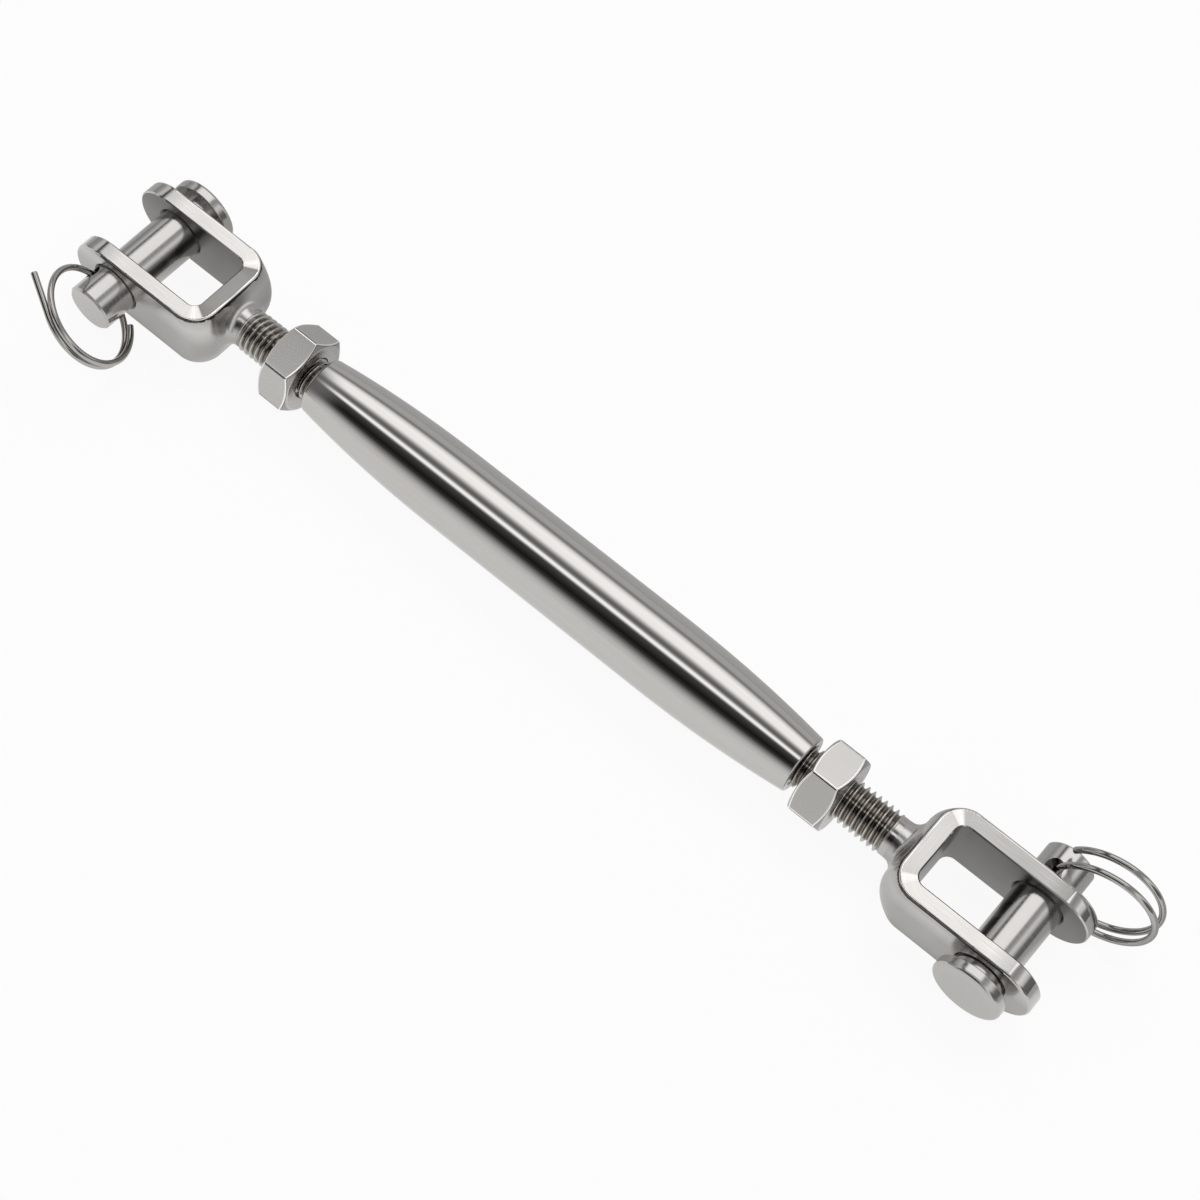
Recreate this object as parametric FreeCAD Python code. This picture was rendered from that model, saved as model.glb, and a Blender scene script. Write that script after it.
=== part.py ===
import FreeCAD, Part
import math
import os

# A shroud adjuster: a closed barrel that draws two threaded forks together.
# Frame in millimetres: X runs along the screw, Y along the clevis pins, Z is up.
# The origin is the middle of the left clevis pin, between its fork's ears.

V = FreeCAD.Vector

# Barrel
barrel_length = 135.0
barrel_radius = 9.2
barrel_straight_half = 27.0      # half-length of the middle part, all one radius
barrel_end_radius = 6.75
taper_lean = 3.0                 # slope half-way along the taper, in degrees
barrel_rim_round = 0.45
mouth_depth = 1.1                # countersink in each end face
relief_half = 18.0               # half-length of the wider hollow in the middle
relief_radius = 5.6
relief_cone = 1.2

# Screw
thread_radius = 5.0
screw_clearance = 0.05           # radial, between a shank and the holes that guide it
guide_radius = thread_radius + screw_clearance
mouth_radius = guide_radius + mouth_depth

# Lock nuts
nut_flats = 17.6
nut_thickness = 8.4
nut_gap = 2.5                    # from the barrel's end face to the nut
nut_chamfer_angle = 30.0
nut_face_ratio = 0.95            # face circle over the width across flats
nut_mouth_depth = 0.6
nut_turning_margin = 3.0         # how far the turned envelope stands off the hexagon's faces
left_nut_turn = 15.9             # angle of one corner about X, in degrees
right_nut_turn = 52.3

# How far each fork is screwed out, from the barrel's end face to the pin centre
left_reach = 50.8
right_reach = 54.0

# Forks, each drawn about its pin centre with the screw towards +X
fork_width = 24.3
jaw_width = 16.2
fork_height = 17.0
ear_reach = 12.2                 # from the pin centre to the tip of the ear
jaw_depth = 21.2                 # from the pin centre to the bottom of the jaw
crotch_thickness = 3.9
crotch_bulge = 2.1               # how far the crotch swells outwards at half height
crotch_corner_radius = 6.3       # at the top and bottom faces
swelled_corner_radius = 5.0      # at half height
jaw_corner_radius = 2.4
jaw_overrun = 5.0                # how far the cut for the jaw runs out past the ears
block_margin = 0.1               # left on the block before the ears' ends are rounded
fork_edge_round = 0.7
jaw_edge_bevel = 0.3
neck_blend = 2.4                 # hollow round between the crotch and the neck
neck_radius = 4.7
neck_end = 29.8                  # from here on the screw is threaded
shank_reach = 95.5               # from the pin centre to the tip of the screw
shank_tip_bevel = 1.0

# Clevis pins
pin_radius = 5.75
pin_clearance = 0.08             # radial, in the holes of the ears
hole_bevel = 0.5
head_radius = 8.15
head_thickness = 2.7
head_gap = 2.3                   # end play left under the head
head_round = 0.9
pin_tail = 8.2                   # beyond the ear on the ring's side
pin_tail_bevel = 0.5
ring_hole_radius = 2.0
ring_hole_offset = 2.25          # from the ear to the centre of the ring's hole

# Split rings, measured in degrees round the wire; the pin's hole is passed at 450
wire_radius = 0.75
ring_radius = 11.4               # to the centre of the wire
ring_sit = 0.6                   # how far the wire's middle sits from the hole's centre
ring_rise = 1.65                 # sideways step of the wire in one turn
ring_end = 765.0
left_ring_start = 237.7
left_ring_tail = 10.5            # straight end that stands off the left ring
right_ring_start = 135.0
right_ring_spread = 2.4          # how far the right ring's second turn is sprung away

# Attitudes of the pins and rings as they lie
left_hole_turn = 40.0            # of the ring's hole about the pin, in degrees
left_ring_swing = 32.0           # of the ring about its hole
right_hole_turn = 252.0
right_ring_swing = -82.0


def turned(points):
    """Solid of revolution about X from a closed outline of (x, radius) points."""
    wire = Part.makePolygon([V(x, 0, r) for x, r in points + points[:1]])
    return Part.Face(wire).revolve(V(0, 0, 0), V(1, 0, 0), 360)


def rod(radius, start, end):
    """Cylinder along X from start to end."""
    return Part.makeCylinder(radius, end - start, V(start, 0, 0), V(1, 0, 0))


def mirrored(shape):
    """The same shape on the other side of the YZ plane."""
    return shape.mirror(V(0, 0, 0), V(1, 0, 0))


def bent(start, lean, end_lean, run):
    """Arc that falls away from start as its lean grows, over a run along X, and where it ends."""
    radius = run / (math.sin(end_lean) - math.sin(lean))
    centre = start - V(math.sin(lean), 0, math.cos(lean)) * radius
    middle = (lean + end_lean) / 2
    points = [centre + V(math.sin(a), 0, math.cos(a)) * radius for a in (lean, middle, end_lean)]
    return Part.Arc(*points).toShape(), points[2]


def make_barrel():
    half = barrel_length / 2
    bend_run = (half - barrel_straight_half) / 2
    first_lean = math.radians(taper_lean)
    middle_radius = barrel_radius - bend_run * math.tan(first_lean / 2)
    chord_lean = math.atan((middle_radius - barrel_end_radius) / bend_run)
    last_lean = 2 * chord_lean - first_lean
    start = V(barrel_straight_half, 0, barrel_radius)
    first_bend, joint = bent(start, 0, first_lean, bend_run)
    last_bend, outer_end = bent(joint, first_lean, last_lean, bend_run)
    edges = [
        Part.makeLine(V(0, 0, 0), V(0, 0, barrel_radius)),
        Part.makeLine(V(0, 0, barrel_radius), start),
        first_bend,
        last_bend,
        Part.makeLine(outer_end, V(half, 0, 0)),
        Part.makeLine(V(half, 0, 0), V(0, 0, 0)),
    ]
    side = Part.Face(Part.Wire(edges)).revolve(V(0, 0, 0), V(1, 0, 0), 360)
    rims = [e for e in side.Edges if abs(e.BoundBox.XMin - half) < 1e-4 and e.BoundBox.XLength < 1e-4]
    side = side.makeFillet(barrel_rim_round, rims)
    body = side.fuse(mirrored(side)).removeSplitter()
    hollow = rod(guide_radius, -half - 1, half + 1)
    relief = turned([
        (-relief_half - relief_cone, 0),
        (-relief_half - relief_cone, guide_radius),
        (-relief_half, relief_radius),
        (relief_half, relief_radius),
        (relief_half + relief_cone, guide_radius),
        (relief_half + relief_cone, 0),
    ])
    mouth = turned([
        (half - mouth_depth, 0),
        (half - mouth_depth, guide_radius),
        (half, mouth_radius),
        (half + 1, mouth_radius),
        (half + 1, 0),
    ])
    return body.cut(hollow).cut(relief).cut(mouth).cut(mirrored(mouth))


def make_nut(turn):
    """Lock nut with its inner face at x = 0 and its body towards +X."""
    corner = nut_flats / math.sqrt(3)
    outline = []
    for i in range(7):
        angle = math.radians(turn + 60 * i)
        outline.append(V(0, corner * math.cos(angle), corner * math.sin(angle)))
    prism = Part.Face(Part.makePolygon(outline)).extrude(V(nut_thickness, 0, 0))
    face_radius = nut_flats * nut_face_ratio / 2
    run = nut_turning_margin
    depth = run * math.tan(math.radians(nut_chamfer_angle))
    envelope = turned([
        (0, 0),
        (0, face_radius),
        (depth, face_radius + run),
        (nut_thickness - depth, face_radius + run),
        (nut_thickness, face_radius),
        (nut_thickness, 0),
    ])
    entry = turned([
        (-1, 0),
        (-1, guide_radius + nut_mouth_depth),
        (0, guide_radius + nut_mouth_depth),
        (nut_mouth_depth, guide_radius),
        (nut_thickness - nut_mouth_depth, guide_radius),
        (nut_thickness, guide_radius + nut_mouth_depth),
        (nut_thickness + 1, guide_radius + nut_mouth_depth),
        (nut_thickness + 1, 0),
    ])
    return prism.common(envelope).cut(entry)


def block_outline(end, corner_radius, height):
    """Outline of the jaw's block seen from above, with its two crotch corners rounded."""
    half_width = fork_width / 2
    start_x = -ear_reach - block_margin
    bend_x = end - corner_radius
    bend_y = half_width - corner_radius
    reach = corner_radius * math.sqrt(0.5)
    near_arc = Part.Arc(V(bend_x, -half_width, height), V(bend_x + reach, -bend_y - reach, height),
                        V(end, -bend_y, height))
    far_arc = Part.Arc(V(end, bend_y, height), V(bend_x + reach, bend_y + reach, height),
                       V(bend_x, half_width, height))
    return Part.Wire([
        Part.makeLine(V(start_x, -half_width, height), V(bend_x, -half_width, height)),
        near_arc.toShape(),
        Part.makeLine(V(end, -bend_y, height), V(end, bend_y, height)),
        far_arc.toShape(),
        Part.makeLine(V(bend_x, half_width, height), V(start_x, half_width, height)),
        Part.makeLine(V(start_x, half_width, height), V(start_x, -half_width, height)),
    ])


def fork_block():
    """The block of the jaw, swelled at its crotch and round at the ears' ends."""
    half_height = fork_height / 2
    face_end = jaw_depth + crotch_thickness
    face_outlines = [block_outline(face_end, crotch_corner_radius, side * half_height) for side in (-1, 1)]
    swelled = block_outline(face_end + crotch_bulge, swelled_corner_radius, 0)
    block = Part.makeLoft([face_outlines[0], swelled, face_outlines[1]], True)
    ear_centre = half_height - ear_reach
    past_crotch = face_end + crotch_bulge + 1
    profile = [
        Part.makeLine(V(ear_centre, 0, half_height), V(past_crotch, 0, half_height)),
        Part.makeLine(V(past_crotch, 0, half_height), V(past_crotch, 0, -half_height)),
        Part.makeLine(V(past_crotch, 0, -half_height), V(ear_centre, 0, -half_height)),
        Part.Arc(V(ear_centre, 0, -half_height), V(-ear_reach, 0, 0), V(ear_centre, 0, half_height)).toShape(),
    ]
    side = Part.Face(Part.Wire(profile)).extrude(V(0, fork_width + 2, 0))
    side.translate(V(0, -fork_width / 2 - 1, 0))
    return block.common(side)


def outline_edges(shape):
    """Edges where the block's outer walls meet its top, bottom and ear ends."""
    half_width = fork_width / 2
    half_height = fork_height / 2
    picked = []
    for edge in shape.Edges:
        box = edge.BoundBox
        on_side = box.YLength < 1e-3 and abs(abs(box.YMin) - half_width) < 1e-3
        on_face = box.ZLength < 1e-3 and abs(abs(box.ZMin) - half_height) < 1e-3
        at_ear = box.XMax < 0 and box.ZLength > half_height
        across_ear = box.XLength < 1e-3 and box.XMax < 0
        if (on_face and not across_ear) or (on_side and at_ear):
            picked.append(edge)
    return picked


def make_jaw_cut():
    """The jaw's opening, run out past the ears."""
    length = jaw_depth + ear_reach + jaw_overrun
    cut = Part.makeBox(length, jaw_width, fork_height + 2, V(jaw_depth - length, -jaw_width / 2, -fork_height / 2 - 1))
    corners = [e for e in cut.Edges if e.BoundBox.ZLength > fork_height and e.BoundBox.XMin > jaw_depth - 0.01]
    return cut.makeFillet(jaw_corner_radius, corners)


def add_neck(block):
    """The round neck, blended into the crotch."""
    whole = block.fuse(rod(neck_radius, jaw_depth, neck_end))
    crotch_x = jaw_depth + crotch_thickness
    root = []
    for edge in whole.Edges:
        box = edge.BoundBox
        in_crotch = box.XMin > crotch_x and box.XMax < crotch_x + crotch_bulge + 0.01
        if in_crotch and box.YMax < neck_radius + 0.01 and box.YMin > -neck_radius - 0.01:
            root.append(edge)
    return whole.makeFillet(neck_blend, root)


def make_shank():
    """Screw from the end of the neck, a plain cylinder at the thread's full diameter."""
    shoulder = thread_radius - neck_radius
    return turned([
        (neck_end, 0),
        (neck_end, neck_radius),
        (neck_end + shoulder, thread_radius),
        (shank_reach - shank_tip_bevel, thread_radius),
        (shank_reach, thread_radius - shank_tip_bevel),
        (shank_reach, 0),
    ])


def make_fork():
    """Fork about its pin centre, with its screw towards +X."""
    block = fork_block()
    block = block.makeFillet(fork_edge_round, outline_edges(block))
    jaw = add_neck(block).cut(make_jaw_cut())
    half_jaw = jaw_width / 2
    inner_rim = []
    for edge in jaw.Edges:
        box = edge.BoundBox
        on_face = box.ZLength < 1e-3 and abs(abs(box.ZMin) - fork_height / 2) < 1e-3
        if on_face and box.YMax < half_jaw + 0.01 and box.YMin > -half_jaw - 0.01:
            inner_rim.append(edge)
    jaw = jaw.makeChamfer(jaw_edge_bevel, inner_rim)
    hole = Part.makeCylinder(pin_radius + pin_clearance, fork_width + 2, V(0, -fork_width / 2 - 1, 0), V(0, 1, 0))
    jaw = jaw.cut(hole)
    wide = pin_radius + pin_clearance + hole_bevel
    narrow = pin_radius + pin_clearance
    for face_y, inward in ((fork_width / 2, -1), (-fork_width / 2, 1), (half_jaw, 1), (-half_jaw, -1)):
        bevel = Part.makeCone(wide, narrow, hole_bevel, V(0, face_y, 0), V(0, inward, 0))
        jaw = jaw.cut(bevel)
    return jaw.fuse(make_shank()).removeSplitter()


def make_pin(hole_turn, head_side):
    """Clevis pin along Y about the fork's centre; head_side is 1 or -1."""
    ear = fork_width / 2
    under_head = ear + head_gap
    tail_end = -ear - pin_tail
    shank = Part.makeCylinder(pin_radius, under_head - tail_end, V(0, tail_end, 0), V(0, 1, 0))
    end_rim = [e for e in shank.Edges if e.BoundBox.YMax < tail_end + 1e-3]
    shank = shank.makeChamfer(pin_tail_bevel, end_rim)
    head = Part.makeCylinder(head_radius, head_thickness, V(0, under_head, 0), V(0, 1, 0))
    outer_rim = [e for e in head.Edges if e.BoundBox.YMin > under_head + head_thickness - 1e-3]
    head = head.makeFillet(head_round, outer_rim)
    inner_rim = [e for e in head.Edges if e.BoundBox.YMax < under_head + 1e-3]
    head = head.makeFillet(head_round / 3, inner_rim)
    pin = shank.fuse(head).removeSplitter()
    pin.rotate(V(0, 0, 0), V(1, 0, 0), 0 if head_side > 0 else 180)
    turn = math.radians(hole_turn)
    across = V(math.cos(turn), 0, -math.sin(turn))
    centre = V(0, -head_side * (ear + ring_hole_offset), 0)
    drill = Part.makeCylinder(ring_hole_radius, 4 * pin_radius, centre - across * 2 * pin_radius, across)
    return pin.cut(drill)


def ring_point(angle, spread):
    """Centre of the wire; the hole's centre is the origin and the hole runs along X."""
    turns = (angle - 450.0) / 360.0
    share = min(max(turns / 0.7, 0.0), 1.0)
    side = ring_rise * turns + spread * share * share * (3 - 2 * share)
    around = math.radians(angle)
    return V(ring_radius * math.cos(around), ring_radius * (1 - math.sin(around)), side)


def ring_heading(angle, spread):
    """Direction in which the wire runs on at an angle."""
    return (ring_point(angle + 1, spread) - ring_point(angle - 1, spread)).normalize()


def arc_in_corner(start, corner, end):
    """Arc from start to end, tangent to both sides of the corner, which are equally long."""
    half_cosine = (end - start).Length / (2 * (corner - start).Length)
    chord_middle = (start + end) / 2
    crown = chord_middle + (corner - chord_middle) * (half_cosine / (1 + half_cosine))
    return Part.Arc(start, crown, end).toShape()


def two_arcs(start, heading, end, end_heading):
    """Pair of tangent arcs that leave start and reach end along the given headings."""
    span = end - start
    headings = heading + end_heading
    square = 2 * (1 - heading.dot(end_heading))
    linear = span.dot(headings)
    reach = (math.sqrt(linear ** 2 + square * span.dot(span)) - linear) / square
    first_corner = start + heading * reach
    last_corner = end - end_heading * reach
    joint = (first_corner + last_corner) / 2
    return [arc_in_corner(start, first_corner, joint), arc_in_corner(joint, last_corner, end)]


def make_ring(start, tail, spread):
    """Split ring of round wire in the plane of X and Y, its middle on +Y."""
    count = round((ring_end - start) / 90)
    angles = [start + (ring_end - start) * i / count for i in range(count + 1)]
    points = [ring_point(angle, spread) for angle in angles]
    headings = [ring_heading(angle, spread) for angle in angles]
    tip = points[0] - headings[0] * tail
    edges = []
    if tail > 0:
        edges.append(Part.makeLine(tip, points[0]))
    for i in range(count):
        edges += two_arcs(points[i], headings[i], points[i + 1], headings[i + 1])
    profile = Part.Wire(Part.Edge(Part.Circle(tip, headings[0], wire_radius)))
    return Part.Wire(edges).makePipeShell([profile], True, False)


def place_ring(ring, hole_turn, swing, head_side):
    """Hang a ring in its pin's hole."""
    turn = math.radians(hole_turn)
    lean = math.radians(swing)
    across = V(math.cos(turn), 0, -math.sin(turn))
    upright = V(math.sin(turn), 0, math.cos(turn))
    middle = V(0, -head_side * math.cos(lean), 0) + upright * math.sin(lean)
    normal = across.cross(middle)
    seat = V(0, -head_side * (fork_width / 2 + ring_hole_offset), 0) - middle * ring_sit
    matrix = FreeCAD.Matrix(
        across.x, middle.x, normal.x, seat.x,
        across.y, middle.y, normal.y, seat.y,
        across.z, middle.z, normal.z, seat.z,
        0, 0, 0, 1)
    ring.Placement = FreeCAD.Placement(matrix)
    return ring


def moved(shape, x):
    shape.translate(V(x, 0, 0))
    return shape


barrel_x = left_reach + barrel_length / 2
right_pin_x = barrel_x + barrel_length / 2 + right_reach
nut_x = barrel_length / 2 + nut_gap
left_ring = make_ring(left_ring_start, left_ring_tail, 0).mirror(V(0, 0, 0), V(0, 0, 1))
right_ring = make_ring(right_ring_start, 0, right_ring_spread)

nodes = {
    "barrel": moved(make_barrel(), barrel_x),
    "left_nut": moved(mirrored(moved(make_nut(left_nut_turn), nut_x)), barrel_x),
    "right_nut": moved(make_nut(right_nut_turn), barrel_x + nut_x),
    "left_fork": make_fork(),
    "right_fork": moved(mirrored(make_fork()), right_pin_x),
    "left_pin": make_pin(left_hole_turn, 1),
    "right_pin": moved(make_pin(right_hole_turn, -1), right_pin_x),
    "left_ring": place_ring(left_ring, left_hole_turn, left_ring_swing, 1),
    "right_ring": moved(place_ring(right_ring, right_hole_turn, right_ring_swing, -1), right_pin_x),
}

os.makedirs("parts", exist_ok=True)
for name, shape in nodes.items():
    shape.exportStep("parts/" + name + ".step")
    box = shape.BoundBox
    print(name, shape.ShapeType, len(shape.Solids), shape.isValid(), round(shape.Volume, 1),
          [round(v, 2) for v in (box.XMin, box.YMin, box.ZMin, box.XMax, box.YMax, box.ZMax)])
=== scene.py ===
import math
from types import SimpleNamespace

import bmesh
import bpy
from bpy.props import FloatProperty, FloatVectorProperty, IntProperty, PointerProperty
from mathutils import Euler, Matrix, Vector


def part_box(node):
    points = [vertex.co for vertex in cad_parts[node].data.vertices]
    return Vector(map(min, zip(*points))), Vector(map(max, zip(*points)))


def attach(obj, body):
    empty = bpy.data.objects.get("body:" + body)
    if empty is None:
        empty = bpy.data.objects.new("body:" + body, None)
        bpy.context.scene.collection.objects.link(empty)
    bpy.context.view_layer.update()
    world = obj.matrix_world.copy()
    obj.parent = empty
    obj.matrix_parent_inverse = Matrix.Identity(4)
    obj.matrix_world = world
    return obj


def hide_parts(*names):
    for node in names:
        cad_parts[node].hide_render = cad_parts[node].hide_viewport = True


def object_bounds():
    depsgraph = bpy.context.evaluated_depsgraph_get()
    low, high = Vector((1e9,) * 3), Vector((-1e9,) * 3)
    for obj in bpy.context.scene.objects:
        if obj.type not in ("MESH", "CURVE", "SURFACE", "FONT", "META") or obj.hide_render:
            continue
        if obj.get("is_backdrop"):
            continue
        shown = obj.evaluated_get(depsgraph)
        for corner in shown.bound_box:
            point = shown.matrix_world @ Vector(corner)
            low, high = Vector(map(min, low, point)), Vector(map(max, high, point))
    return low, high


bl_info = {
    "name": "Shroud adjuster",
    "version": (1, 0, 0),
    "blender": (4, 5, 0),
    "location": "View3D > Sidebar > Rigging",
    "description": "Finishes a stainless jaw-and-jaw rigging screw around its packed frame",
    "category": "Object",
}

MM = 0.001

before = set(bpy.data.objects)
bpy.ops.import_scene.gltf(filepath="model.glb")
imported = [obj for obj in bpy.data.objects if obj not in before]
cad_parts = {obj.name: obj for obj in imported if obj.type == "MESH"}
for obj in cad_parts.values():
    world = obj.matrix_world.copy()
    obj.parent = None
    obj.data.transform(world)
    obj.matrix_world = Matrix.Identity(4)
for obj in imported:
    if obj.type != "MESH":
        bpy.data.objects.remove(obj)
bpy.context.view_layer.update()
barrel_low, barrel_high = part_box("barrel")
fork_low, fork_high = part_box("left_fork")
right_pin_low, right_pin_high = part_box("right_pin")

BARREL_MIDDLE = (barrel_low[0] + barrel_high[0]) / 2
BARREL_LENGTH = barrel_high[0] - barrel_low[0]
BARREL_RADIUS = (barrel_high[2] - barrel_low[2]) / 2
RIGHT_PIN_X = (right_pin_low[0] + right_pin_high[0]) / 2
MIDDLE_X = RIGHT_PIN_X / 2
SCREW_TIP = fork_high[0]
FORK_HALF_HEIGHT = (fork_high[2] - fork_low[2]) / 2
FORK_HALF_WIDTH = (fork_high[1] - fork_low[1]) / 2
EAR_REACH = -fork_low[0]
FACE_BAND = 0.1 * MM       # how far under a fork's top a brushed face may lie
INSIDE_TOP = 0.2 * MM      # how far under a fork's top the painted shade inside its jaw begins
EDGE_BAND = 0.75 * MM      # height of the rounded band under a fork's brushed faces
JAW_REACH = 8.45 * MM      # how far from the middle a jaw's inner walls and their bevels lie
CROTCH_REACH = 21.5 * MM   # how far from the pin the bottom of a jaw lies
HOLE_REACH = 6.4 * MM      # radius of an ear's hole over its bevels
HOLE_MIDDLE_Y = FORK_HALF_WIDTH + 2.25 * MM    # the ring's hole, out from the middle of the pin
BRUSH_TURN = (16.0 * MM, 4.0 * MM)   # from the pin and from the middle: where the brushing turns to the crotch
MITRE = (18.8 * MM, 5.8 * MM)        # the same for the point that the painted highlights and shade of a fork's corners turn about
ROWS_PER_PITCH = 16        # rows of points along one turn of a thread
BARREL_STEPS = 180         # rows of points along the barrel
FLAT_STRIPS = 8            # strips across one flat of a nut
CORNER_STRIPS = 6          # strips round one corner of a nut
NOISE_LOW, NOISE_HIGH = 0.3, 0.7     # between these most of a noise texture's values lie


# Sizes and colours that a user would change

def size_prop(name, description, default):
    """A size along a line."""
    return FloatProperty(name=name, description=description, default=default, unit="LENGTH", subtype="DISTANCE")


def angle_prop(name, description, degrees):
    """An angle, given in degrees and kept in radians."""
    return FloatProperty(name=name, description=description, default=math.radians(degrees), subtype="ANGLE")


def colour_prop(name, description, default):
    """A colour in linear light."""
    return FloatVectorProperty(name=name, description=description, default=default, subtype="COLOR", min=0, max=1)


class BarrelSizes(bpy.types.PropertyGroup):
    end_radius: size_prop("End radius", "Radius of the barrel at its end faces", 6.75 * MM)
    straight_half: size_prop("Straight half-length", "Half of the middle length that has one radius", 27 * MM)
    taper_power: FloatProperty(
        name="Taper power", description="How late the taper drops away towards the ends", default=2.2)
    bore_radius: size_prop("Bore radius", "Radius of the hole that the screws run in", 5.05 * MM)
    mouth_depth: size_prop("Mouth depth", "Depth of the countersink in each end face", 1.1 * MM)
    rim_round: size_prop("Rim round", "Rounding of the rims of the end faces", 0.4 * MM)


class ThreadSizes(bpy.types.PropertyGroup):
    pitch: size_prop("Pitch", "Distance from one crest to the next", 1.5 * MM)
    crest_radius: size_prop("Crest radius", "Radius over the crests", 5.0 * MM)
    depth: size_prop("Depth", "Height of a crest over its root", 0.9 * MM)
    start: size_prop("Start", "Distance from the pin's centre to the first groove", 29.3 * MM)
    neck_cut: size_prop("Neck end", "Distance from the pin's centre to the end of the fork's neck", 29.75 * MM)
    neck_radius: size_prop("Neck radius", "Radius of the plain neck before the thread", 4.69 * MM)
    right_run_in: size_prop("Right run-in", "Plain length before the right fork's thread begins", 1.6 * MM)
    fade: size_prop("Fade", "Length over which the first groove deepens", 1.4 * MM)
    tip_bevel: size_prop("Tip bevel", "Bevel at the hidden tip of the screw", 1.0 * MM)


class NutSizes(bpy.types.PropertyGroup):
    flats: size_prop("Across flats", "Width of the hexagon", 17.6 * MM)
    face_ratio: FloatProperty(
        name="Face ratio", description="Round of the end faces over the width across flats", default=0.95)
    chamfer: angle_prop("Chamfer", "Angle of the turned chamfers", 30)
    bore_radius: size_prop("Bore radius", "Radius of the threaded hole", 5.05 * MM)
    mouth: size_prop("Mouth", "Countersink of the hole", 0.6 * MM)
    edge_round: size_prop("Edge round", "How far the rounding of an edge reaches", 0.3 * MM)
    corner_round: size_prop("Corner round", "Radius of the hexagon's corners", 0.55 * MM)
    left_turn: angle_prop("Left turn", "Angle of a corner of the left nut about the screw", 15.9)
    right_turn: angle_prop("Right turn", "Angle of a corner of the right nut about the screw", 52.3)


class RingSizes(bpy.types.PropertyGroup):
    wire_radius: size_prop("Wire radius", "Radius of the ring's wire", 0.75 * MM)
    ring_radius: size_prop("Ring radius", "Radius of the coil, to the middle of the wire", 11.4 * MM)
    rise: size_prop("Rise", "Sideways step of the wire in one turn", 1.65 * MM)
    sit: size_prop("Sit", "How far the wire's middle sits from the centre of its hole", 0.6 * MM)
    left_tail: size_prop("Left tail", "Straight end that stands off the left ring", 10.5 * MM)
    right_spread: size_prop("Right spread", "How far the right ring's second turn is sprung away", 2.4 * MM)


class Finish(bpy.types.PropertyGroup):
    steel: colour_prop("Steel", "Colour of the polished steel", (0.57, 0.555, 0.535))
    # Painted shade that darkens the threads towards their roots
    painted_groove_shade: colour_prop("Steel in the grooves", "Colour of the steel between the crests", (0.20, 0.175, 0.15))
    floor: colour_prop("Floor", "Colour of the table and the background", (1.0, 1.0, 1.0))


class Fineness(bpy.types.PropertyGroup):
    around: IntProperty(name="Around", description="Facets round the barrel", default=160, min=24)
    thread_around: IntProperty(name="Thread around", description="Facets round a screw", default=56, min=12)
    wire_points: IntProperty(name="Wire points", description="Steps along a ring's wire", default=260, min=60)


# Helpers for node trees

class Value:
    """An output in a node tree; each of the usual signs between Values and numbers adds one Math node."""

    def __init__(self, tree, socket):
        self.tree = tree
        self.socket = socket

    def __add__(self, other):
        return calc("ADD", self, other)

    def __sub__(self, other):
        return calc("SUBTRACT", self, other)

    def __rsub__(self, other):
        return calc("SUBTRACT", other, self)

    def __mul__(self, other):
        return calc("MULTIPLY", self, other)

    def __truediv__(self, other):
        return calc("DIVIDE", self, other)

    def __pow__(self, other):
        return calc("POWER", self, other)

    def __gt__(self, other):
        return calc("GREATER_THAN", self, other)

    def __lt__(self, other):
        return calc("LESS_THAN", self, other)

    def __abs__(self):
        return calc("ABSOLUTE", self)

    def at_least(self, other):
        return calc("MAXIMUM", self, other)

    def at_most(self, other):
        return calc("MINIMUM", self, other)


def plug(value, socket):
    """Links a Value to an input, or sets a plain value on it."""
    if isinstance(value, Value):
        value.tree.links.new(value.socket, socket)
    else:
        socket.default_value = value


def add_node(tree, kind, inputs=(), **settings):
    """Adds a node with its settings, its inputs given by name or number."""
    node = tree.nodes.new(kind)
    for key, value in settings.items():
        setattr(node, key, value)
    for key, value in dict(inputs).items():
        plug(value, node.inputs[key])
    return node


def output(tree, kind, inputs=(), pick=0, **settings):
    """Adds a node and gives one of its outputs."""
    return Value(tree, add_node(tree, kind, inputs, **settings).outputs[pick])


def tree_of(values):
    """The node tree of the first Value among Values and numbers."""
    return next(value.tree for value in values if isinstance(value, Value))


def calc(operation, *values):
    """The result of one Math node."""
    return output(tree_of(values), "ShaderNodeMath", enumerate(values), operation=operation)


def hypotenuse(first, second):
    """Distance from two distances at right angles."""
    return calc("SQRT", first ** 2.0 + second ** 2.0)


def map_range(value, low, high, to_low=0.0, to_high=1.0, **settings):
    """A value carried from one range to another, and held at the ends."""
    inputs = enumerate((value, low, high, to_low, to_high))
    return output(value.tree, "ShaderNodeMapRange", inputs, **settings)


def mix(factor, first, second):
    """Mix of two numbers."""
    tree = tree_of((factor, first, second))
    return output(tree, "ShaderNodeMix", {0: factor, 2: first, 3: second}, data_type="FLOAT")


def split(vector):
    """The three parts of a vector."""
    node = add_node(vector.tree, "ShaderNodeSeparateXYZ", {0: vector})
    return [Value(vector.tree, part) for part in node.outputs]


def join(*parts):
    """A vector from its first parts."""
    return output(tree_of(parts), "ShaderNodeCombineXYZ", enumerate(parts))


def noise(vector, scale, detail=2.0):
    """A noise texture over a vector."""
    return output(vector.tree, "ShaderNodeTexNoise", {"Vector": vector, "Scale": scale, "Detail": detail})


def ramp(value, stops):
    """Colour ramp over a value from (place, grey or colour) stops."""
    node = add_node(value.tree, "ShaderNodeValToRGB", {0: value})
    elements = node.color_ramp.elements
    while len(elements) < len(stops):
        elements.new(1.0)
    for element, (place, tone) in zip(elements, stops):
        element.position = place
        element.color = (tone, tone, tone, 1) if isinstance(tone, float) else (*tone, 1)
    return Value(value.tree, node.outputs[0])


def brightened(picture, factor):
    """A colour times a value."""
    inputs = {0: picture, "Scale": factor}
    return output(picture.tree, "ShaderNodeVectorMath", inputs, operation="SCALE")


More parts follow.
